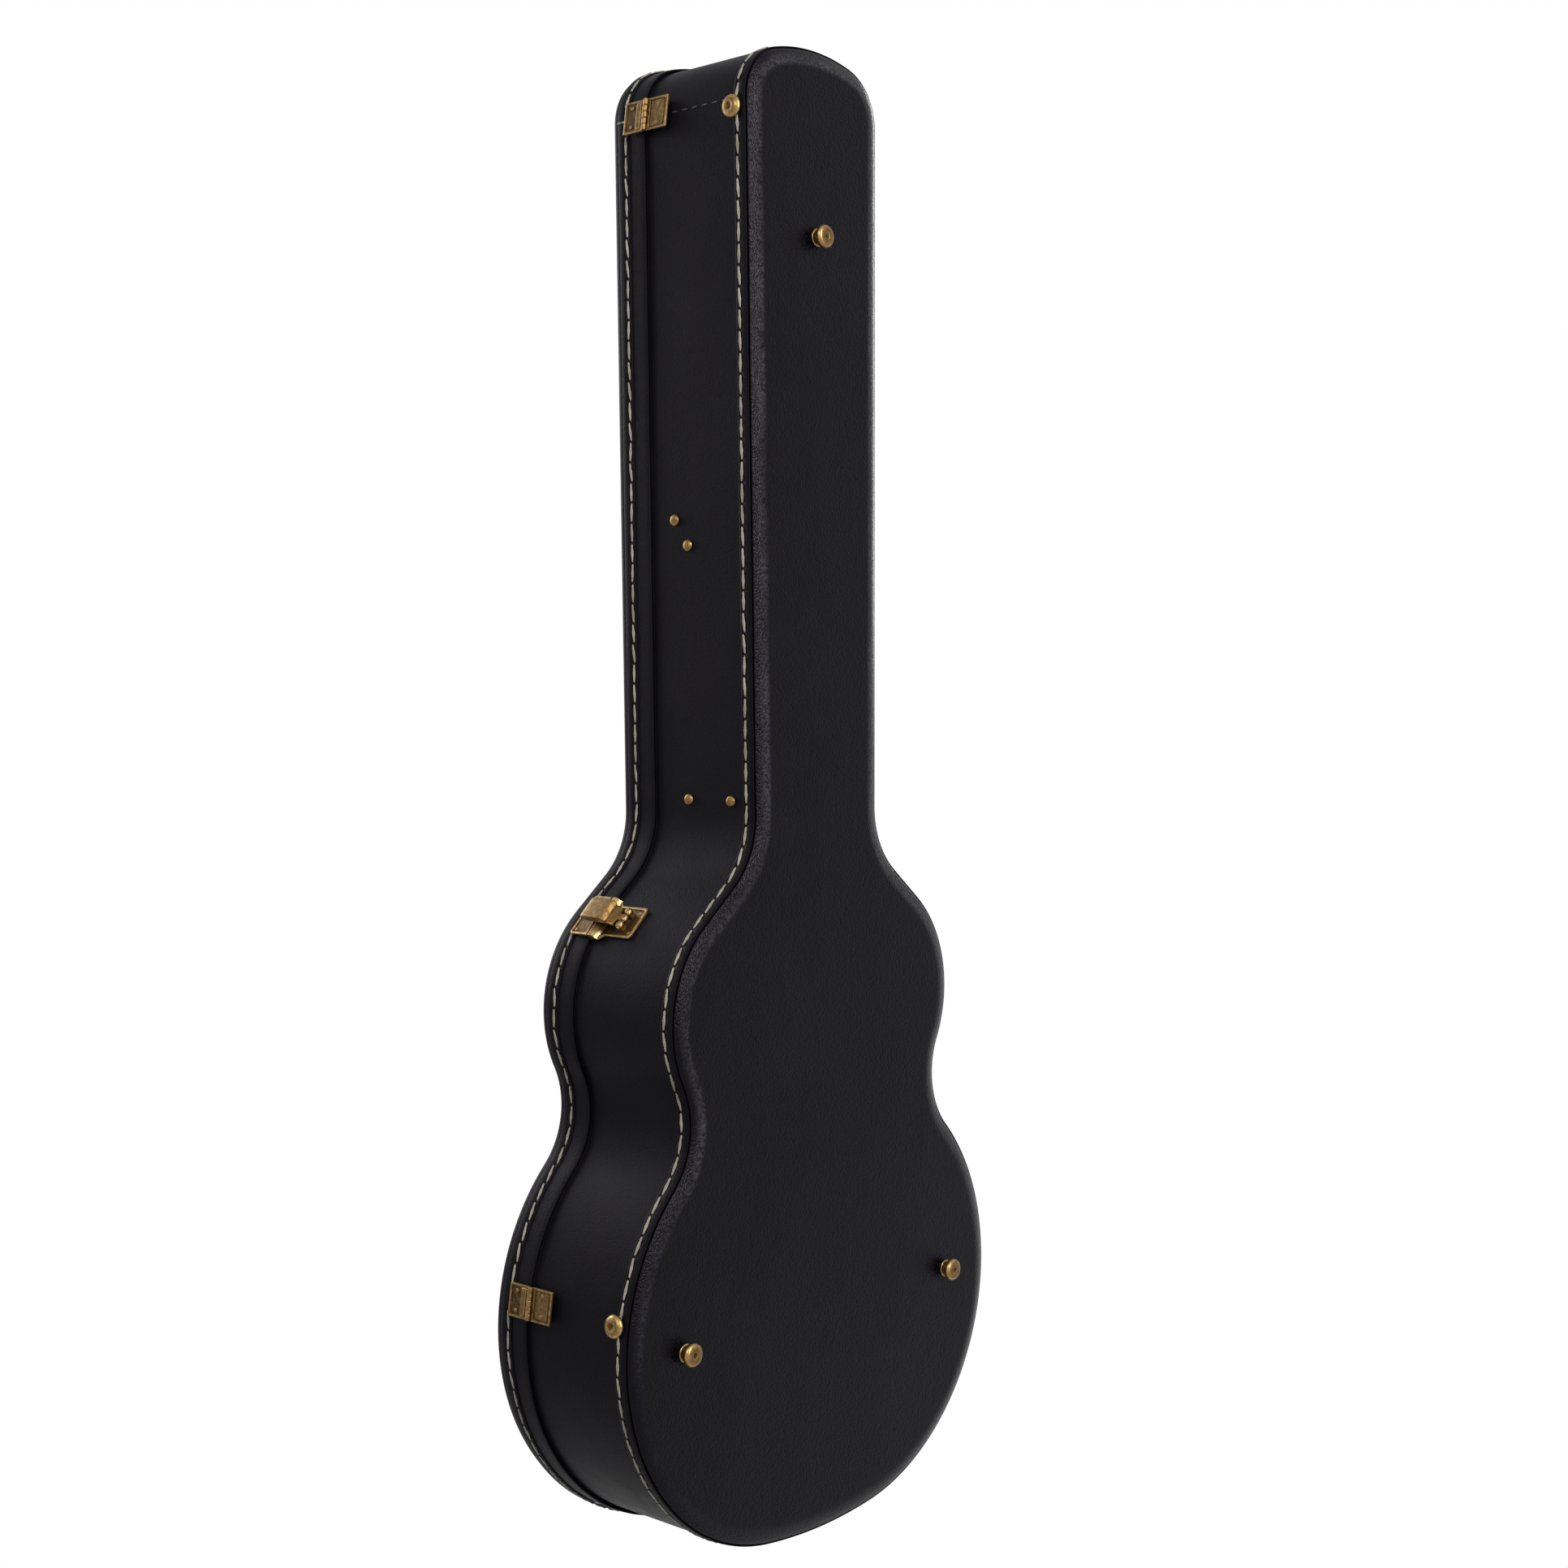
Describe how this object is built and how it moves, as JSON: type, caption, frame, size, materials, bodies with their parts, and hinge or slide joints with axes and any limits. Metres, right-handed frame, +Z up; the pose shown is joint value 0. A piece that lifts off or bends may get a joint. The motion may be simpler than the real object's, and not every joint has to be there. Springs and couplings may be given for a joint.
{
  "type": "guitar case",
  "caption": "Hard guitar case in black leathercloth with stitched edging, hinged lid, lever latches, swing handle, brass feet and a padded plush interior.",
  "frame": {"origin": "centre of the footprint, at the level of the back feet", "axes": "+X towards the hinge side, +Y towards the headstock end, +Z up from the back feet to the lid"},
  "size_m": [0.4162, 1.0872, 0.1486],
  "materials": {
    "black_leathercloth": "fine grained satin",
    "stitched_edging": "satin with pale stitching",
    "plush_lining": "short pile plush",
    "grip_leather": "satin",
    "aged_brass": "antique, worn",
    "steel_pin": "plain"
  },
  "bodies": {
    "base": {"back_foot_head": "aged_brass", "back_foot_tail_handle_side": "aged_brass", "back_foot_tail_hinge_side": "aged_brass", "back_panel": "black_leathercloth", "base_edging": "stitched_edging", "base_lining": "plush_lining", "base_wall": "black_leathercloth", "bulkhead_rivet_high_handle_side": "aged_brass", "bulkhead_rivet_high_hinge_side": "aged_brass", "bulkhead_rivet_low_handle_side": "aged_brass", "bulkhead_rivet_low_hinge_side": "aged_brass", "edge_foot_head": "aged_brass", "edge_foot_tail": "aged_brass", "floor_pad": "plush_lining", "handle_bracket_head": "aged_brass", "handle_bracket_tail": "aged_brass", "handle_pin_head": "steel_pin", "handle_pin_tail": "steel_pin", "hinge_base_leaf_head": "aged_brass", "hinge_base_leaf_tail": "aged_brass", "hinge_packer_head": "black_leathercloth", "hinge_packer_tail": "black_leathercloth", "hinge_pin_head": "steel_pin", "hinge_pin_tail": "steel_pin", "latch_pin_lower_handle_side": "steel_pin", "latch_pin_shoulder_handle_side": "steel_pin", "latch_pin_shoulder_hinge_side": "steel_pin", "latch_plate_lower_handle_side": "aged_brass", "latch_plate_shoulder_handle_side": "aged_brass", "latch_plate_shoulder_hinge_side": "aged_brass", "neck_rest": "plush_lining", "rest_rivet_front_handle_side": "aged_brass", "rest_rivet_front_hinge_side": "aged_brass", "rest_rivet_rear_handle_side": "aged_brass", "rest_rivet_rear_hinge_side": "aged_brass", "well_bulkhead": "plush_lining"},
    "lid": {"lid_wall": "black_leathercloth", "front_panel": "black_leathercloth", "lid_edging": "stitched_edging", "lid_lining": "plush_lining", "lid_pad": "plush_lining", "hinge_lid_leaf_head": "aged_brass", "hinge_lid_leaf_tail": "aged_brass", "latch_strike_lower_handle_side": "aged_brass", "latch_strike_shoulder_handle_side": "aged_brass", "latch_strike_shoulder_hinge_side": "aged_brass"},
    "latch_lower_handle_side": {"latch_lever_lower_handle_side": "aged_brass"},
    "latch_shoulder_handle_side": {"latch_lever_shoulder_handle_side": "aged_brass"},
    "latch_shoulder_hinge_side": {"latch_lever_shoulder_hinge_side": "aged_brass"},
    "handle": {"handle_grip": "grip_leather", "handle_arm_head": "aged_brass", "handle_arm_tail": "aged_brass"}
  },
  "joints": [
    {"name": "lid_hinge", "type": "hinge", "parent": "base", "child": "lid", "pos_m": [0.20451, -0.34614, 0.1077], "axis": [-0.1459, 0.9893, 0], "range_deg": [0, 100]},
    {"name": "latch_lower_handle_side_flip", "type": "hinge", "parent": "base", "child": "latch_lower_handle_side", "pos_m": [-0.19692, -0.40014, 0.0872], "axis": [0.1517, -0.9884, 0], "range_deg": [0, 150]},
    {"name": "latch_shoulder_handle_side_flip", "type": "hinge", "parent": "base", "child": "latch_shoulder_handle_side", "pos_m": [-0.12188, -0.08066, 0.0872], "axis": [-0.7268, -0.6869, 0], "range_deg": [0, 150]},
    {"name": "latch_shoulder_hinge_side_flip", "type": "hinge", "parent": "base", "child": "latch_shoulder_hinge_side", "pos_m": [0.12832, -0.08066, 0.0872], "axis": [-0.7268, 0.6869, 0], "range_deg": [0, 150]},
    {"name": "handle_swing", "type": "hinge", "parent": "base", "child": "handle", "pos_m": [-0.1633, -0.22843, 0.096], "axis": [0.2115, 0.9774, 0], "range_deg": [0, 95]}
  ]
}
